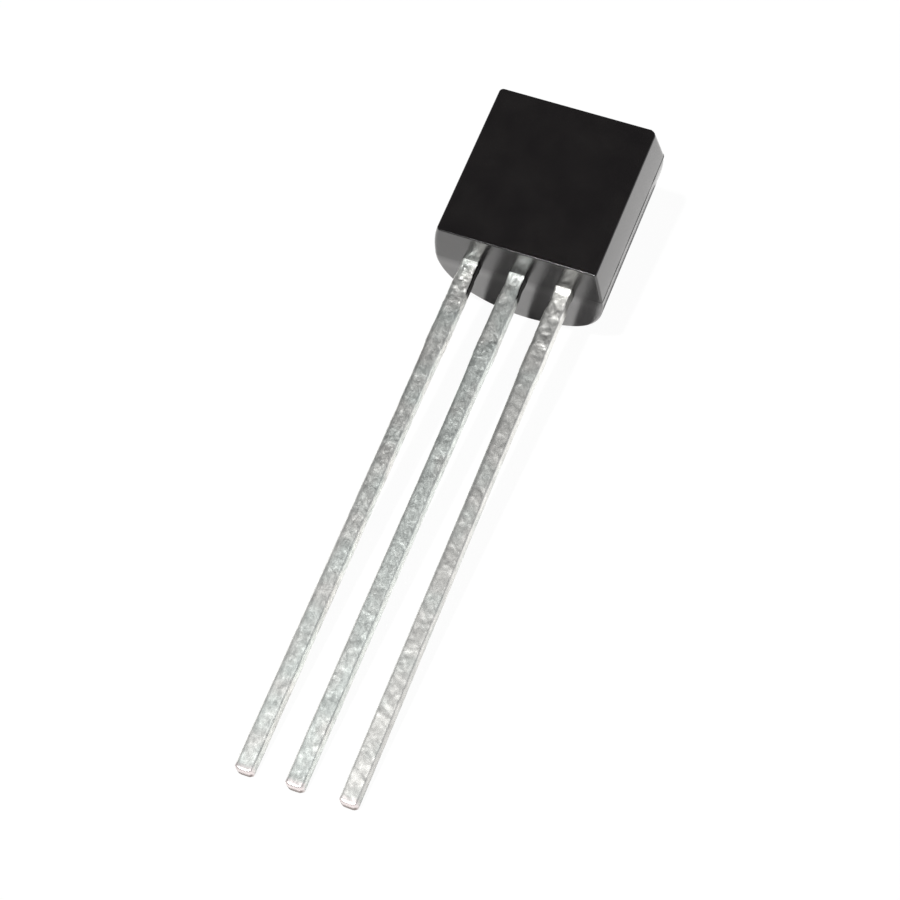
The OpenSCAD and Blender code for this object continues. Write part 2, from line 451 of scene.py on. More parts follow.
def roundBack():
    # Columns from the lower to the upper end, from the right side round the back to the left
    s = moulding
    axis = s["back"] - s["width"] / 2
    columns = []
    for i in range(s["arcSteps"] + 1):
        angle = pi * i / s["arcSteps"]
        settled = min(1, min(angle, pi - angle) / radians(s["rimSettles"]))
        corners = s["rightRound"] if cos(angle) > 0 else s["leftRound"]
        corners = [corner + (s["backRim"] - corner) * settled for corner in corners]
        away = min(1, abs(angle - radians(s["bulgeAt"])) / radians(s["bulgeSpan"]))
        radius = s["width"] / 2 + s["backBulge"] * cos(away * pi / 2) ** 2
        depth = axis + radius * sin(angle)
        slope = sin(angle) * (lowerEnd(depth) - lowerEnd(depth - 0.01)) / 0.01
        side = endProfile(radius, lowerEnd(depth), slope, *corners)
        columns.append([lifted(Vector((out * cos(angle), axis + out * sin(angle), z))) for out, z in side])
    return columns


def fillEnd(shape, rim, line):
    # Rows across the round part of an end face, from the straight line to the middle of the back
    count = len(line) + 1
    rows = [[rim[0]] + line + [rim[-1]]]
    for i in range(1, len(rim) // 2):
        right, left = rim[i], rim[-1 - i]
        inner = [shape.verts.new(right.co.lerp(left.co, j / count)) for j in range(1, count)]
        rows.append([right] + inner + [left])
    for a, b in zip(rows, rows[1:]):
        for j in range(count):
            shape.faces.new((a[j], a[j + 1], b[j + 1], b[j]))
    for j in range(count):
        shape.faces.new((rows[-1][j], rows[-1][j + 1], rim[len(rim) // 2]))


def mouldingLoops():
    # The softened edge of the flat, the drafted front, the witness line and the start of the back
    s = moulding
    loops = []
    for i in range(s["edgeSteps"] + 1):
        turn = pi / 2 * (1 - i / s["edgeSteps"])
        behindFlat, inset = s["flatEdge"] * (1 - sin(turn)), s["flatEdge"] * (1 - cos(turn))
        loops.append(depthLoop(behindFlat - s["front"], inset))
    loops += [depthLoop(depth) for depth in s["frontDepths"]]
    for step in s["witnessSteps"]:
        depth, height = step * s["witnessWidth"] / 2, 1 - step ** 2
        plain, raised = depthLoop(depth), depthLoop(depth, extra=s["witnessHeight"])
        loops.append([low.lerp(high, height * witnessShare(low)) for low, high in zip(plain, raised)])
    return loops + [depthLoop(s["behindParting"]), depthLoop(s["back"] - s["width"] / 2)]


def mouldingSolid():
    s = moulding
    shape = bmesh.new()
    rings = [[shape.verts.new(point) for point in loop] for loop in mouldingLoops()]
    for a, b in zip(rings, rings[1:]):
        for i in range(len(a)):
            j = (i + 1) % len(a)
            shape.faces.new((a[i], a[j], b[j], b[i]))
    shape.faces.new(rings[0])
    columns = roundBack()
    sideCount = len(columns[0])
    lineCount = s["lineSteps"] - 1
    border = rings[-1]
    right = border[:sideCount]
    left = border[sideCount + lineCount:2 * sideCount + lineCount][::-1]
    grid = [right] + [[shape.verts.new(point) for point in column] for column in columns[1:-1]] + [left]
    for a, b in zip(grid, grid[1:]):
        for i in range(sideCount - 1):
            shape.faces.new((a[i], a[i + 1], b[i + 1], b[i]))
    ends = ((0, border[2 * sideCount + lineCount:][::-1]), (-1, border[sideCount:sideCount + lineCount]))
    for which, line in ends:
        fillEnd(shape, [column[which] for column in grid], line)
    bmesh.ops.recalc_face_normals(shape, faces=shape.faces)
    return scratchObject("moulding", meshFrom(shape, "moulding"))


def ejectorCutter():
    s = moulding
    shape = bmesh.new()
    length, radius = s["cutterLength"], s["ejectorWidth"] / 2
    middle = Vector((0, s["back"] - s["ejectorDepth"] + length / 2, s["height"] / 2))
    turn = Matrix.Translation(middle) @ Matrix.Rotation(pi / 2, 4, "X")
    bmesh.ops.create_cone(shape, cap_ends=True, segments=s["ejectorSides"], radius1=radius, radius2=radius,
                          depth=length, matrix=turn)
    return scratchObject("ejector", meshFrom(shape, "ejector"))


def brokenGate():
    s = moulding
    shape = bmesh.new()
    columns, rows = s["gateSteps"]
    grid = [[None] * (rows + 1) for _ in range(columns + 1)]
    for i in range(columns + 1):
        for j in range(rows + 1):
            x = (i / columns - 0.5) * s["gateWidth"]
            y = (j / rows - 0.5) * s["gateThickness"]
            rough = sum(share * noise.noise(Vector((x * alongX, y * alongY, seed)))
                        for alongX, alongY, seed, share in s["gateNoise"])
            onBorder = i in (0, columns) or j in (0, rows)
            lift = s["gateHeight"] * (s["gateMean"] + s["gateRough"] * rough)
            lift *= s["gateBorder"] if onBorder else 1
            grid[i][j] = shape.verts.new((x, y, s["height"] + s["topRise"] + lift))
    for i in range(columns):
        for j in range(rows):
            shape.faces.new((grid[i][j], grid[i + 1][j], grid[i + 1][j + 1], grid[i][j + 1]))
    border = [e for e in shape.edges if e.is_boundary]
    sunk = bmesh.ops.extrude_edge_only(shape, edges=border)["geom"]
    for v in sunk:
        if isinstance(v, bmesh.types.BMVert):
            v.co.z = s["height"] - s["gateHeight"]
    bmesh.ops.holes_fill(shape, edges=[e for e in shape.edges if e.is_boundary])
    bmesh.ops.recalc_face_normals(shape, faces=shape.faces)
    return scratchObject("gate", meshFrom(shape, "gate"))


def makeBody():
    solid, cutter, gate = mouldingSolid(), ejectorCutter(), brokenGate()
    for operand, operation in ((cutter, "DIFFERENCE"), (gate, "UNION")):
        boolean = solid.modifiers.new(operation, "BOOLEAN")
        boolean.object = operand
        boolean.operation = operation
        boolean.solver = "EXACT"
    solid.data.shade_smooth()
    joined = evaluated(solid)
    for holder in (solid, cutter, gate):
        bpy.data.objects.remove(holder)
    joined.shade_smooth()
    joined.set_sharp_from_angle(angle=radians(moulding["sharpFrom"]))
    holder = scratchObject("shaded", joined)
    weighted = holder.modifiers.new("flats", "WEIGHTED_NORMAL")
    weighted.keep_sharp = True
    finished = evaluated(holder)
    bpy.data.objects.remove(holder)
    finished.name = "mouldedBody"
    addPiece("mouldedBody", finished, blackEpoxy, "body")
    print("body made:", len(finished.polygons), "faces")


makeBody()


leadFrame = {
    "pitch": 1.27,
    "width": 0.45,
    "thickness": 0.4,
    "length": 14.45,
    "neckWidth": 0.41,
    "shoulderWidth": 0.51,
    "square": 7.0,                # how square a section is: 2 is round
    "tipSteps": [                 # height above the tip, off the half width, off the half thickness
        (0.0, 0.09, 0.035), (0.008, 0.072, 0.014), (0.025, 0.05, 0.003)],
    "stemSteps": [                # height, added to the half width, squareness
        (-14.39, 0, 9.0), (-13.8, 0, 12.0), (-9.0, 0, 10.0), (-5.6, 0, 7.0), (-4.2, 0.005, 7.0),
        (-3.1, 0.011, 7.0), (-2.8, 0.018, 7.0)],
    "shoulderSteps": [            # the same, with the mark of the cut dam bar at the lower end
        (-2.59, -0.005, 7.0), (-2.5, 0.006, 7.0), (-2.05, 0.006, 7.0), (-1.96, 0, 7.0),
        (-0.51, -0.01, 7.0), (-0.35, -0.03, 8.0)],
    "neckSteps": [                # the same, with the locking notches inside the body
        (-0.05, 0.02, 14.0), (0, 0.012, 16.0), (0.2, 0, 16.0), (0.58, 0, 14.0), (0.65, -0.07, 14.0),
        (0.72, 0, 14.0)],
    "leanFrom": -2.8,             # the lead leans, lifts and gets longer from here to the tip
    "tipLift": 0.16,              # share of what the lead is longer
    "insideSquare": 14.0,
    "postFoot": 1.3,
    "postTaper": 0.2,
    "basePost": (0.8, 0.6),       # width and height of the head
    "emitterPost": (0.7, 1.5),
    "gap": 0.3,
    "paddleHeight": 1.5,
    "paddleReach": 0.55,
    "paddleTaper": 0.001,
    "cornerReach": 0.125,         # width of the rolled part on each side of the section
    "rollStarts": 0.5,            # below the body
    "step": 0.026,                # spacing of the rings outside the body
    "sharpFrom": 50,              # degrees between two faces
}

# lean and extra: how far the tip leans and how much longer the lead is; shift: its place in the noise
# freshAndHighlight: thick tin at the root, painted near-white, partly as a painted highlight; darkReach: how
# far the side walls are darkened down from the root
# darkOnSides: how strongly the left and the right wall are darkened; paintedWallLight: the walls' tone at
# the root and the tip, painted light at the root and painted shade towards the tip
# rolled: how much the left front edge is rolled down, and between which heights that fades
# rough: heights and how strongly the tin ripples there
leads = [
    {
        "name": "emitterLead",
        "node": "emitter_lead",
        "side": -1,
        "lean": 0.0,
        "extra": 0.13,
        "shift": 3.0,
        "tint": 0.03,
        "mottle": 1.05,
        "bump": 1.5,
        "freshAndHighlight": 0.75,
        "freshAndHighlightBetween": (-0.95, -0.45),
        "darkReach": 0.88,
        "darkOnSides": (0.15, 1.0),
        "paintedWallLight": (1.36, 1.03),
        "rolled": (1.0, -6.0, -15.0),
        "rough": [(-0.08, 3.4), (-1.25, 4.0), (-1.7, 1.0), (-3.8, 1.0), (-4.4, 2.4), (-7.0, 2.0),
                  (-8.5, 1.0)],
        "ripples": {"Gathered Height": 0.012, "Gathered Length": 0.15, "Fleck Across": 17.0,
                    "Fleck Along": 11.0, "Fleck Height": 0.016},
    },
    {
        "name": "baseLead",
        "node": "base_lead",
        "side": 0,
        "lean": 0.0,
        "extra": 0.08,
        "shift": 7.0,
        "tint": -0.10,
        "mottle": 1.1,
        "bump": 1.6,
        "freshAndHighlight": 0.0,
        "freshAndHighlightBetween": (-0.5, 0.0),
        "darkReach": 0.62,
        "darkOnSides": (1.0, 1.0),
        "paintedWallLight": (1.36, 0.97),
        "rolled": (0.6, -5.0, -9.0),
        "rough": [(-0.08, 1.6), (-0.6, 2.0), (-1.2, 1.0), (-1.95, 1.0), (-2.1, 4.0), (-2.5, 4.0),
                  (-2.75, 1.5), (-10, 1.2)],
        "ripples": {"Gathered Height": 0.019, "Gathered Length": 0.19, "Fleck Across": 15.0,
                    "Fleck Along": 9.0, "Fleck Height": 0.018},
    },
    {
        "name": "collectorLead",
        "node": "collector_lead",
        "side": 1,
        "lean": 0.08,
        "extra": 0.03,
        "shift": 12.0,
        "tint": 0.10,
        "mottle": 0.55,
        "bump": 0.9,
        "freshAndHighlight": 0.7,
        "freshAndHighlightBetween": (-1.0, -0.5),
        "darkReach": 0.60,
        "darkOnSides": (0.7, 0.6),
        "paintedWallLight": (1.32, 0.72),
        "rolled": (1.0, -6.5, -9.0),
        "rough": [(-0.08, 2.6), (-0.9, 3.2), (-1.7, 2.9), (-2.1, 1.5), (-2.6, 1.0)],
        "ripples": {"Gathered Height": 0.034, "Gathered Length": 0.26, "Gathered Slant": 0.45,
                    "Streak Across": 5.0, "Streak Along": 2.4, "Streak Turn": radians(32),
                    "Streak Height": 0.016},
    },
]
print("lead frame set out")


# A pair of heights, depths or parts of the normal says where something starts and is full;
# four numbers also say what it starts from and ends with
tinFinish = {
    "bright": (0.74, 0.74, 0.725, 1),
    "dull": (0.45, 0.455, 0.447, 1),
    "streakTurn": 15,                       # degrees
    "streakScale": (10.0, 10.0, 4.0),       # per mm
    "streakNoise": (1.0, 3.0, 0.6, 0.5),
    "streakRange": (0.3, 0.7),
    "patchNoise": (1.6, 3.0, 0.55, 0.5),
    "patchRange": (0.34, 0.66),
    "grainNoise": (24.0, 2.0, 0.5),
    "lightness": 0.12,
    "patchLightness": 0.45,
    "cleanFrom": -4.0,                      # lighter from here to the tip
    "cleanBy": 0.08,
    "cool": (0.955, 1.0, 0.98, 1),
    "warm": (1.0, 0.99, 0.97, 1),
    "hueNoise": (1.1, 2.0),
    "hueRange": (0.38, 0.62),
    "freshAndHighlight": (0.98, 0.98, 0.95, 1),         # thick tin near the body, painted near-white on the fronts, partly a painted highlight
    "freshAndHighlightStreaks": (0.0, 0.8, 0.4, 1.0),
    "freshAndHighlightFront": (0.5, 0.8, 1.0, 0.0),
    "resin": (0.012, 0.010, 0.009, 1),      # near black that darkens the side walls near the root
    "raggedNoise": 7.0,
    "raggedBy": 0.25,
    "darkOnRight": (0.5, 0.75),
    "darkOnLeft": (-0.5, -0.75),
    "darkEdge": (0.04, 0.14),
    # painted light and shade on the side walls, set per lead by paintedWallLight
    "paintedWallLightFrom": -1.0,
    "paintedWallLightSide": (0.6, 0.85),
    "edgeRoughAndSheenLeft": (-0.1, -0.45),              # the left edge gets rougher and is painted bright towards the tip: a painted reflection
    "edgeRoughAndSheenBetween": (-4.0, -9.0),
    "edgeSheenRough": 0.65,
    "bare": (0.64, 0.585, 0.58, 1),         # cut ends, where the tin is missing
    "cutFacing": (0.35, 0.7),
    "cutAbove": (0.4, 0.3),                 # from the tip
    "wipedAbove": (0.32, 0.20),
    "wipedShare": 0.8,
    # painted contact shadow along the lower edge of the cut end
    "paintedContactShadow": (0.16, 0.13, 0.12, 1),
    "paintedContactShadowAbove": (0.07, 0.03),
    "paintedContactShadowDepth": (-0.06, 0.03),
    "roughness": (0.45, 0.39),              # dull and bright
    "bumpDepth": 0.0045,
    "bumpStreaks": 0.7,
    "bumpGrain": 0.25,
    "bumpFades": (-6.0, -13.0, 1.0, 0.3),
}

def tinPattern(tree, lead, drawn):
    # Streaks, patches and grain of the tin, and where on the lead a point is
    s = tinFinish
    own = stretched(tree, drawn, (1, 1, 1), (lead["shift"], 0, lead["shift"]))
    turned = stretched(tree, turnedFlat(tree, own, radians(s["streakTurn"])), s["streakScale"])
    facing = addNode(tree, "ShaderNodeTexCoord").outputs["Normal"]
    sidewards = partsOf(tree, facing)["X"]
    height = partsOf(tree, drawn)["Z"]
    return {
        "streaks": mapRange(tree, noiseAt(tree, turned, *s["streakNoise"]), *s["streakRange"]),
        "patches": mapRange(tree, noiseAt(tree, own, *s["patchNoise"]), *s["patchRange"]),
        "grain": noiseAt(tree, own, *s["grainNoise"]),
        "hue": total(tree, noiseAt(tree, own, *s["hueNoise"]), lead["tint"]),
        "height": height,
        "ragged": total(tree, height, product(tree, noiseAt(tree, own, s["raggedNoise"]), s["raggedBy"])),
        "depth": partsOf(tree, drawn)["Y"],
        "sidewards": sidewards,
        "sideways": magnitude(tree, sidewards),
        "endwards": vectorMath(tree, "DOT_PRODUCT", facing, -towardsTop),
        "edgeRoughAndSheen": product(tree, mapRange(tree, sidewards, *s["edgeRoughAndSheenLeft"]),
                        mapRange(tree, height, *s["edgeRoughAndSheenBetween"])),
    }


def tinColour(tree, lead, at):
    s = tinFinish
    mottled = product(tree, calculate(tree, "SUBTRACT", at["streaks"], 0.5), lead["mottle"])
    cleaner = mapRange(tree, at["height"], s["cleanFrom"], -leadFrame["length"], 0.0, s["cleanBy"])
    patched = product(tree, at["patches"], s["patchLightness"])
    lightness = total(tree, mottled, s["lightness"], patched, cleaner)
    colour = mixColour(tree, lightness, s["dull"], s["bright"])
    # partly a painted highlight: near-white streaks on the fronts near the root
    thick = product(tree, mapRange(tree, at["height"], *lead["freshAndHighlightBetween"], 0.0, lead["freshAndHighlight"]),
                    mapRange(tree, at["streaks"], *s["freshAndHighlightStreaks"]),
                    mapRange(tree, at["sideways"], *s["freshAndHighlightFront"]))
    colour = mixColour(tree, thick, colour, s["freshAndHighlight"])
    hue = mapRange(tree, at["hue"], *s["hueRange"])
    return tinted(tree, colour, mixColour(tree, hue, s["cool"], s["warm"]))


def wallColour(tree, lead, at, colour):
    # The walls are painted lighter or darker than the front, as painted light and shade, and are darkened
    # near the root
    s = tinFinish
    # painted light at the root and painted shade towards the tip on the walls
    paintedWallTone = mapRange(tree, at["height"], s["paintedWallLightFrom"], -leadFrame["length"], *lead["paintedWallLight"])
    paintedWallTone = mixColour(tree, mapRange(tree, at["sideways"], *s["paintedWallLightSide"]), (1, 1, 1, 1), paintedWallTone)
    # painted reflection: the left edge is mixed towards near-white tin towards the tip
    colour = mixColour(tree, at["edgeRoughAndSheen"], tinted(tree, colour, paintedWallTone), s["freshAndHighlight"])
    onLeft, onRight = lead["darkOnSides"]
    onSides = calculate(tree, "MAXIMUM", mapRange(tree, at["sidewards"], *s["darkOnRight"], 0.0, onRight),
                        mapRange(tree, at["sidewards"], *s["darkOnLeft"], 0.0, onLeft))
    near = mapRange(tree, at["ragged"], *[edge - lead["darkReach"] for edge in s["darkEdge"]])
    return mixColour(tree, product(tree, onSides, near), colour, s["resin"])


def endColour(tree, lead, at, colour):
    # The cut end is bare, the tin is wiped thin next to it and its lower edge is painted dark: a painted
    # contact shadow
    s = tinFinish
    end = -leadFrame["length"] - lead["extra"]

    def aboveTip(height, name):
        return mapRange(tree, height, *[above + end for above in s[name]])

    cut = product(tree, mapRange(tree, at["endwards"], *s["cutFacing"]), aboveTip(at["height"], "cutAbove"))
    wiped = product(tree, aboveTip(at["ragged"], "wipedAbove"), s["wipedShare"])
    colour = mixColour(tree, calculate(tree, "MAXIMUM", wiped, cut), colour, s["bare"])
    # painted contact shadow: the lower edge of the end darkened by its height and depth
    paintedContactShadow = product(tree, aboveTip(at["height"], "paintedContactShadowAbove"), mapRange(tree, at["depth"], *s["paintedContactShadowDepth"]))
    return mixColour(tree, paintedContactShadow, colour, s["paintedContactShadow"])


def makeTin(name, lead):
    material, tree, shader, drawn = startMaterial(name)
    s = tinFinish
    at = tinPattern(tree, lead, drawn)
    colour = endColour(tree, lead, at, wallColour(tree, lead, at, tinColour(tree, lead, at)))
    tree.links.new(colour, shader.inputs["Base Color"])
    shader.inputs["Metallic"].default_value = 1.0
    rough = calculate(tree, "MAXIMUM", mapRange(tree, at["patches"], 0.0, 1.0, *s["roughness"]),
                      product(tree, at["edgeRoughAndSheen"], s["edgeSheenRough"]))
    tree.links.new(rough, shader.inputs["Roughness"])
    relief = total(tree, product(tree, at["streaks"], s["bumpStreaks"]),
                   product(tree, at["grain"], s["bumpGrain"]))
    strength = mapRange(tree, at["height"], *s["bumpFades"])
    addBump(tree, shader, relief, s["bumpDepth"] * lead["bump"], strength)
    return material


def stemStations(lean):
    # Height, left edge, right edge, half thickness and squareness, from the tip to the locking notch
    s = leadFrame

    def station(z, half, square=s["square"], thinner=0):
        leant = lean * max(0, (s["leanFrom"] - z) / (s["leanFrom"] + s["length"]))
        return (z, leant - half, leant + half, s["thickness"] / 2 - thinner, square)

    stations = [station(above - s["length"], s["width"] / 2 - narrower, thinner=thinner)
                for above, narrower, thinner in s["tipSteps"]]
    widths = {"stemSteps": "width", "shoulderSteps": "shoulderWidth", "neckSteps": "neckWidth"}
    for steps, width in widths.items():
        stations += [station(z, s[width] / 2 + wider, square) for z, wider, square in s[steps]]
    return stations


def headStations(side):
    # The same inside the body, up the bond post or the paddle
    s = leadFrame
    neck, rest = s["neckWidth"] / 2, (s["thickness"] / 2, s["insideSquare"])
    paddleLeft = -s["paddleReach"]
    if side > 0:
        foot = s["postFoot"] + s["basePost"][1] + s["gap"]
        left, right = paddleLeft - s["pitch"], s["width"] / 2
        return [(foot - s["paddleTaper"], -neck, neck, *rest), (foot, left, right, *rest),
                (foot + s["paddleHeight"], left, right, *rest)]
    width, height = s["basePost"] if side == 0 else s["emitterPost"]
    middle = 0 if side == 0 else paddleLeft - s["gap"] - width / 2 + s["pitch"]
    left, right = middle - width / 2, middle + width / 2
    return [(s["postFoot"] - s["postTaper"], -neck, neck, *rest), (s["postFoot"], left, right, *rest),
            (s["postFoot"] + height, left, right, *rest)]


def coatAt(z, lead):
    # How strongly the tin ripples at one height: not at all where the resin grips
    if z > 0:
        return 0
    points = [(0, 0)] + lead["rough"]
    for (above, a), (below, b) in zip(points, points[1:]):
        if z >= below:
            return a + (b - a) * (above - z) / (above - below)
    return points[-1][1]


def leadPath(lead):
    # Rings between the stations, so that the ripples have something to move
    s = leadFrame
    stations = stemStations(lead["lean"]) + headStations(lead["side"])
    rings = []
    for (za, *a), (zb, *b) in zip(stations, stations[1:]):
        count = max(1, round((zb - za) / s["step"])) if za < 0 else 1
        for i in range(count):
            share = i / count
            rings.append([za + (zb - za) * share] + [p + (q - p) * share for p, q in zip(a, b)])
    rings.append(list(stations[-1]))
    strength, fadeFrom, fadeTo = lead["rolled"]
    for ring in rings:
        z = ring[0]
        down = max(0, (s["leanFrom"] - z) / (s["leanFrom"] + s["length"]))
        ring[0] -= lead["extra"] * down
        rolled = strength * min(1, max(0, (fadeTo - z) / (fadeTo - fadeFrom)))
        rolled *= min(1, max(0, -z / s["rollStarts"]))
        ring += [coatAt(z, lead), s["tipLift"] * lead["extra"] * down ** 2, rolled]
    mesh = bpy.data.meshes.new(lead["name"])
    mesh.from_pydata([(0, 0, ring[0]) for ring in rings], [(i, i + 1) for i in range(len(rings) - 1)], [])
    names = ("height", "leftEdge", "rightEdge", "halfDepth", "square", "coat", "lift", "rolled")
    for column, name in enumerate(names):
        layer = mesh.attributes.new(name, "FLOAT", "POINT")
        layer.data.foreach_set("value", [ring[column] for ring in rings])
    return mesh


# What a lead may set for itself: mm, and per mm for the scales
leadInputs = {
    "Width": leadFrame["width"],
    "Corner Reach": leadFrame["cornerReach"],
    "Roll Width": 0.16,           # the left front edge, rolled down by the stamping tool
    "Roll Depth": 0.032,
    "Wave Height": 0.014,
    "Wave Scale": 1.7,
    "Streak Height": 0.008,
    "Streak Across": 8.5,
    "Streak Along": 3.6,
    "Streak Turn": radians(15),
    "Fleck Height": 0.022,
    "Fleck Across": 11.0,
    "Fleck Along": 6.0,
    "Gathered Height": 0.02,      # the tin that gathers where the lead leaves the body
    "Gathered Length": 0.2,
    "Gathered Slant": 0.0,
    "Shift": 0.0,
}

coatShape = {
    "sectionPoints": 64,
    "tornAcross": 9.0,            # per mm
    "tornNoise": (1.0, 2.0),
    "tornLength": (0.25, 0.75, 0.55, 1.35),
    "endsInside": -10.0,          # how fast the gathered tin ends inside the body
    "gatheredCurve": 1.3,
    "gatheredAside": 0.5,
    "rollCurve": 2.0,
    "waveNoise": (2.0, 0.5, 0.6),           # its scale is an input
    "streakNoise": (1.0, 2.0, 0.5, 0.7),
    "fleckNoise": (1.0, 1.0, 0.5, 0.4),
    "fleckAbove": 0.6,            # nodules stand where the noise
    "fleckCoat": 0.7,             # and the coat are above these
    "lessOnWalls": (0.55, 1.0, 0.3, 1.0),
}


def read(tree, name):
    return addNode(tree, "GeometryNodeInputNamedAttribute", {"Name": name}, data_type="FLOAT").outputs[0]


def keep(tree, geometry, name, value):
    inputs = {"Geometry": geometry, "Name": name, "Value": value}
    return addNode(tree, "GeometryNodeStoreNamedAttribute", inputs, data_type="FLOAT").outputs[0]


def positionIn(tree):
    return addNode(tree, "GeometryNodeInputPosition").outputs[0]


def sweptSection(tree, given):
    # A square section, evenly spaced, that remembers its own two coordinates and runs up the path
    square = addNode(tree, "GeometryNodeCurvePrimitiveQuadrilateral", {"Width": 2.0, "Height": 2.0})
    inputs = {"Curve": square.outputs[0], "Count": coatShape["sectionPoints"]}
    section = addNode(tree, "GeometryNodeResampleCurve", inputs, mode="COUNT").outputs[0]
    spot = partsOf(tree, positionIn(tree))
    section = keep(tree, section, "sectionX", spot["X"])
    section = keep(tree, section, "sectionY", spot["Y"])
    path = addNode(tree, "GeometryNodeMeshToCurve", {"Mesh": given["Geometry"]}).outputs[0]
    inputs = {"Curve": path, "Profile Curve": section, "Fill Caps": True}
    return addNode(tree, "GeometryNodeCurveToMesh", inputs).outputs[0]


def roundedSection(tree):
    # The square turns into a superellipse: rolled edges and a slightly crowned face
    u, v, square = read(tree, "sectionX"), read(tree, "sectionY"), read(tree, "square")
    powers = total(tree, calculate(tree, "POWER", magnitude(tree, u), square),
                   calculate(tree, "POWER", magnitude(tree, v), square))
    shrink = calculate(tree, "POWER", powers, calculate(tree, "DIVIDE", -1.0, square))
    return product(tree, u, shrink), product(tree, v, shrink)


def gatheredTin(tree, given, height, offset, outwards):
    # The tin that gathers at the root thins out downwards to a torn edge
    s = coatShape
    torn = vectorOf(tree, product(tree, offset, s["tornAcross"]), total(tree, height, given["Shift"]))
    torn = mapRange(tree, noiseAt(tree, torn, *s["tornNoise"]), *s["tornLength"])
    torn = total(tree, torn, product(tree, outwards, given["Gathered Slant"]))
    downwards = calculate(tree, "DIVIDE", height, product(tree, torn, given["Gathered Length"]))
    upwards = product(tree, height, s["endsInside"])
    share = atLeast(tree, 0.0, total(tree, calculate(tree, "MINIMUM", downwards, upwards), 1.0))
    return product(tree, calculate(tree, "POWER", share, s["gatheredCurve"]), given["Gathered Height"])


def rolledEdge(tree, given, offset, halfSpan, depthwards):
    # The left front edge falls away towards the back
    fromEdge = calculate(tree, "DIVIDE", total(tree, offset, halfSpan), given["Roll Width"])
    rolled = atLeast(tree, 0.0, calculate(tree, "SUBTRACT", 1.0, fromEdge))
    rolled = calculate(tree, "POWER", rolled, coatShape["rollCurve"])
    rolled = product(tree, rolled, given["Roll Depth"], read(tree, "rolled"))
    return product(tree, rolled, atLeast(tree, 0.0, product(tree, depthwards, -1.0)))


def shapedLead(tree, given, outwards, depthwards):
    # The sides move out to the lead's own edges while the rolled part keeps its width
    left, right = read(tree, "leftEdge"), read(tree, "rightEdge")
    halfSpan = product(tree, calculate(tree, "SUBTRACT", right, left), 0.5)
    middle = product(tree, total(tree, right, left), 0.5)
    halfWidth = product(tree, given["Width"], 0.5)
    out = product(tree, magnitude(tree, outwards), halfWidth)
    flatHalf = calculate(tree, "SUBTRACT", halfWidth, given["Corner Reach"])
    widen = calculate(tree, "DIVIDE", calculate(tree, "SUBTRACT", halfSpan, given["Corner Reach"]), flatHalf)
    inner = product(tree, calculate(tree, "MINIMUM", out, flatHalf), widen)
    corner = atLeast(tree, 0.0, calculate(tree, "SUBTRACT", out, flatHalf))
    offset = product(tree, calculate(tree, "SIGN", outwards), total(tree, inner, corner))
    height = read(tree, "height")
    gathered = gatheredTin(tree, given, height, offset, outwards)
    aside = product(tree, outwards, gathered, coatShape["gatheredAside"])
    offset = total(tree, offset, aside)
    deep = product(tree, depthwards, read(tree, "halfDepth"))
    deep = total(tree, deep, product(tree, depthwards, gathered),
                 rolledEdge(tree, given, offset, halfSpan, depthwards))
    deep = calculate(tree, "SUBTRACT", deep, read(tree, "lift"))
    place = vectorOf(tree, total(tree, middle, offset), deep, height)
    inputs = {"Geometry": sweptSection(tree, given), "Position": place}
    return addNode(tree, "GeometryNodeSetPosition", inputs).outputs[0]


def coatLift(tree, given, depthwards):
    # How far the tin stands out: slow waves, streaks along the lead and a few nodules
    s = coatShape
    spot = vectorMath(tree, "ADD", positionIn(tree), vectorOf(tree, x=given["Shift"], z=given["Shift"]))

    def spread(place, name):
        aside, along = given[name + " Across"], given[name + " Along"]
        return vectorMath(tree, "MULTIPLY", place, vectorOf(tree, aside, aside, along))

    wave = noiseAt(tree, spot, given["Wave Scale"], *s["waveNoise"])
    wave = product(tree, calculate(tree, "SUBTRACT", wave, 0.5), given["Wave Height"])
    streak = noiseAt(tree, spread(turnedFlat(tree, spot, given["Streak Turn"]), "Streak"), *s["streakNoise"])
    streak = product(tree, calculate(tree, "SUBTRACT", streak, 0.5), given["Streak Height"])
    fleck = noiseAt(tree, spread(spot, "Fleck"), *s["fleckNoise"])
    fleck = atLeast(tree, 0.0, calculate(tree, "SUBTRACT", fleck, s["fleckAbove"]))
    thick = atLeast(tree, 0.0, calculate(tree, "SUBTRACT", read(tree, "coat"), s["fleckCoat"]))
    lift = total(tree, product(tree, total(tree, wave, streak), read(tree, "coat")),
                 product(tree, fleck, given["Fleck Height"], thick))
    return product(tree, lift, mapRange(tree, magnitude(tree, depthwards), *s["lessOnWalls"]))


def buildLeadTree():
    tree = bpy.data.node_groups.new("sweptLead", "GeometryNodeTree")
    face = tree.interface
    face.new_socket("Geometry", in_out="INPUT", socket_type="NodeSocketGeometry")
    for name, value in leadInputs.items():
        face.new_socket(name, in_out="INPUT", socket_type="NodeSocketFloat").default_value = value
    face.new_socket("Finish", in_out="INPUT", socket_type="NodeSocketMaterial")
    face.new_socket("Geometry", in_out="OUTPUT", socket_type="NodeSocketGeometry")
    given = addNode(tree, "NodeGroupInput").outputs
    outwards, depthwards = roundedSection(tree)
    shaped = shapedLead(tree, given, outwards, depthwards)
    normal = addNode(tree, "GeometryNodeInputNormal").outputs[0]
    inputs = {0: normal, "Scale": coatLift(tree, given, depthwards)}
    away = addNode(tree, "ShaderNodeVectorMath", inputs, operation="SCALE").outputs[0]
    coated = addNode(tree, "GeometryNodeSetPosition", {"Geometry": shaped, "Offset": away}).outputs[0]
    coated = addNode(tree, "GeometryNodeRealizeInstances", {"Geometry": coated}).outputs[0]
    inputs = {"Geometry": coated, "Material": given["Finish"]}
    finished = addNode(tree, "GeometryNodeSetMaterial", inputs).outputs[0]
    addNode(tree, "NodeGroupOutput", {"Geometry": finished})
    return tree


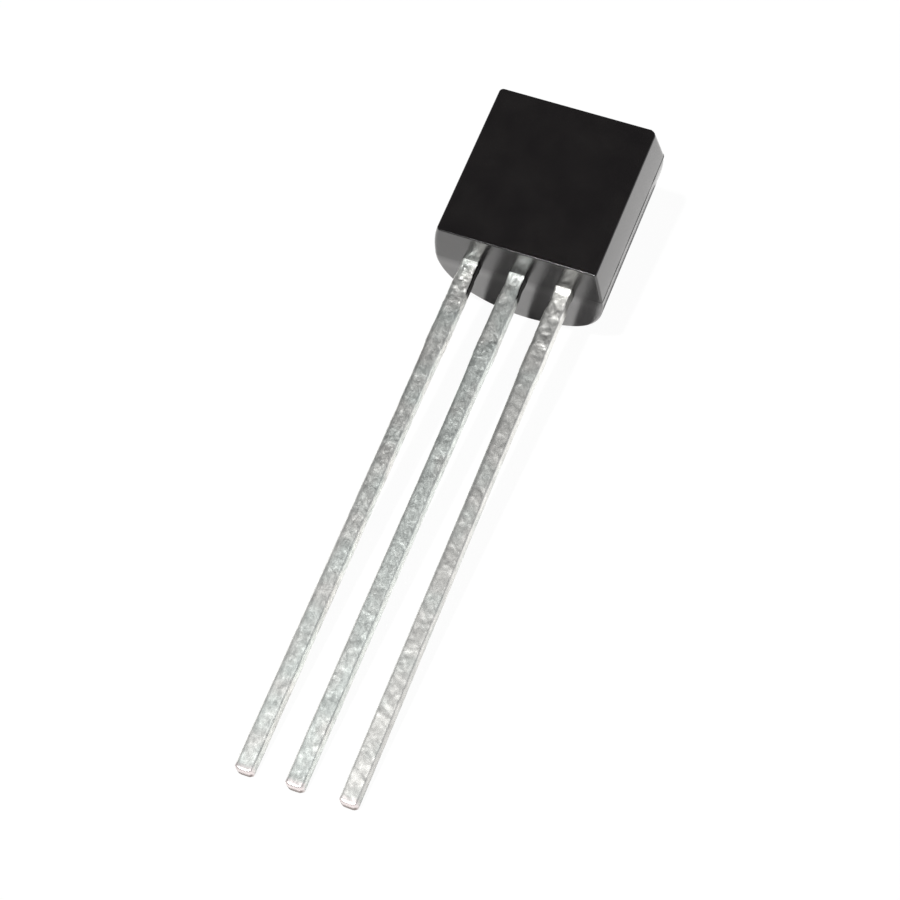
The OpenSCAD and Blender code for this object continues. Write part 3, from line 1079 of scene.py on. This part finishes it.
def makeLead(lead, tree):
    material = makeTin(lead["name"] + "Tin", lead)
    holder = scratchObject(lead["name"] + "Path", leadPath(lead))
    sweep = holder.modifiers.new("sweep", "NODES")
    sweep.node_group = tree
    values = dict(leadInputs, **lead["ripples"], Shift=lead["shift"], Finish=material)
    for item in tree.interface.items_tree:
        if item.in_out == "INPUT" and item.name in values:
            sweep[item.identifier] = values[item.name]
    mesh = evaluated(holder)
    bpy.data.objects.remove(holder)
    shape = bmesh.new()
    shape.from_mesh(mesh)
    bmesh.ops.recalc_face_normals(shape, faces=shape.faces)
    shape.to_mesh(mesh)
    shape.free()
    for attribute in [a.name for a in mesh.attributes if not a.is_internal and not a.is_required]:
        mesh.attributes.remove(mesh.attributes[attribute])
    mesh.transform(Matrix.Translation((lead["side"] * leadFrame["pitch"], 0, 0)))
    mesh.shade_smooth()
    mesh.set_sharp_from_angle(angle=radians(leadFrame["sharpFrom"]))
    addPiece(lead["name"], mesh, material, lead["node"])
    print(lead["name"], "made:", len(mesh.polygons), "faces")


leadTree = buildLeadTree()
for lead in leads:
    makeLead(lead, leadTree)


innerFinish = {
    "silicon": (0.12, 0.13, 0.16, 1),
    "siliconMetallic": 0.6,
    "sawMarks": (2, 60, 2),                 # per mm
    "siliconRough": (0.3, 0.7, 0.12, 0.3),
    "paste": (0.38, 0.38, 0.37, 1),
    "flake": (0.66, 0.66, 0.63, 1),
    "flakeNoise": (60.0, 2.0),
    "flakeRange": (0.4, 0.6),
    "flakeDepth": 0.002,                    # mm
    "pasteMetallic": 0.5,
    "pasteRough": 0.55,
    "goldDark": (0.80, 0.58, 0.20, 1),
    "goldLight": (0.90, 0.72, 0.33, 1),
    "goldNoise": (45.0, 2.0),
    "goldRough": (0.3, 0.7, 0.18, 0.3),
}


def makeSilicon():
    material, tree, shader, drawn = startMaterial("silicon")
    s = innerFinish
    shader.inputs["Base Color"].default_value = s["silicon"]
    shader.inputs["Metallic"].default_value = s["siliconMetallic"]
    saw = noiseAt(tree, stretched(tree, drawn, s["sawMarks"]), 1.0, 2.0)
    tree.links.new(mapRange(tree, saw, *s["siliconRough"]), shader.inputs["Roughness"])
    return material


def makeSilverEpoxy():
    material, tree, shader, drawn = startMaterial("silverEpoxy")
    s = innerFinish
    flakes = noiseAt(tree, drawn, *s["flakeNoise"])
    colour = mixColour(tree, mapRange(tree, flakes, *s["flakeRange"]), s["paste"], s["flake"])
    tree.links.new(colour, shader.inputs["Base Color"])
    shader.inputs["Metallic"].default_value = s["pasteMetallic"]
    shader.inputs["Roughness"].default_value = s["pasteRough"]
    addBump(tree, shader, flakes, s["flakeDepth"])
    return material


def makeGold():
    material, tree, shader, drawn = startMaterial("gold")
    s = innerFinish
    lines = noiseAt(tree, drawn, *s["goldNoise"])
    tree.links.new(mixColour(tree, lines, s["goldDark"], s["goldLight"]), shader.inputs["Base Color"])
    shader.inputs["Metallic"].default_value = 1.0
    tree.links.new(mapRange(tree, lines, *s["goldRough"]), shader.inputs["Roughness"])
    return material


def dress(nodeName, material):
    materials = frame["nodes"][nodeName].data.materials
    materials.clear()
    materials.append(material)


gold = makeGold()
dress("die", makeSilicon())
dress("die_attach", makeSilverEpoxy())
dress("emitter_bond_wire", gold)
dress("base_bond_wire", gold)
print("inner pieces finished")
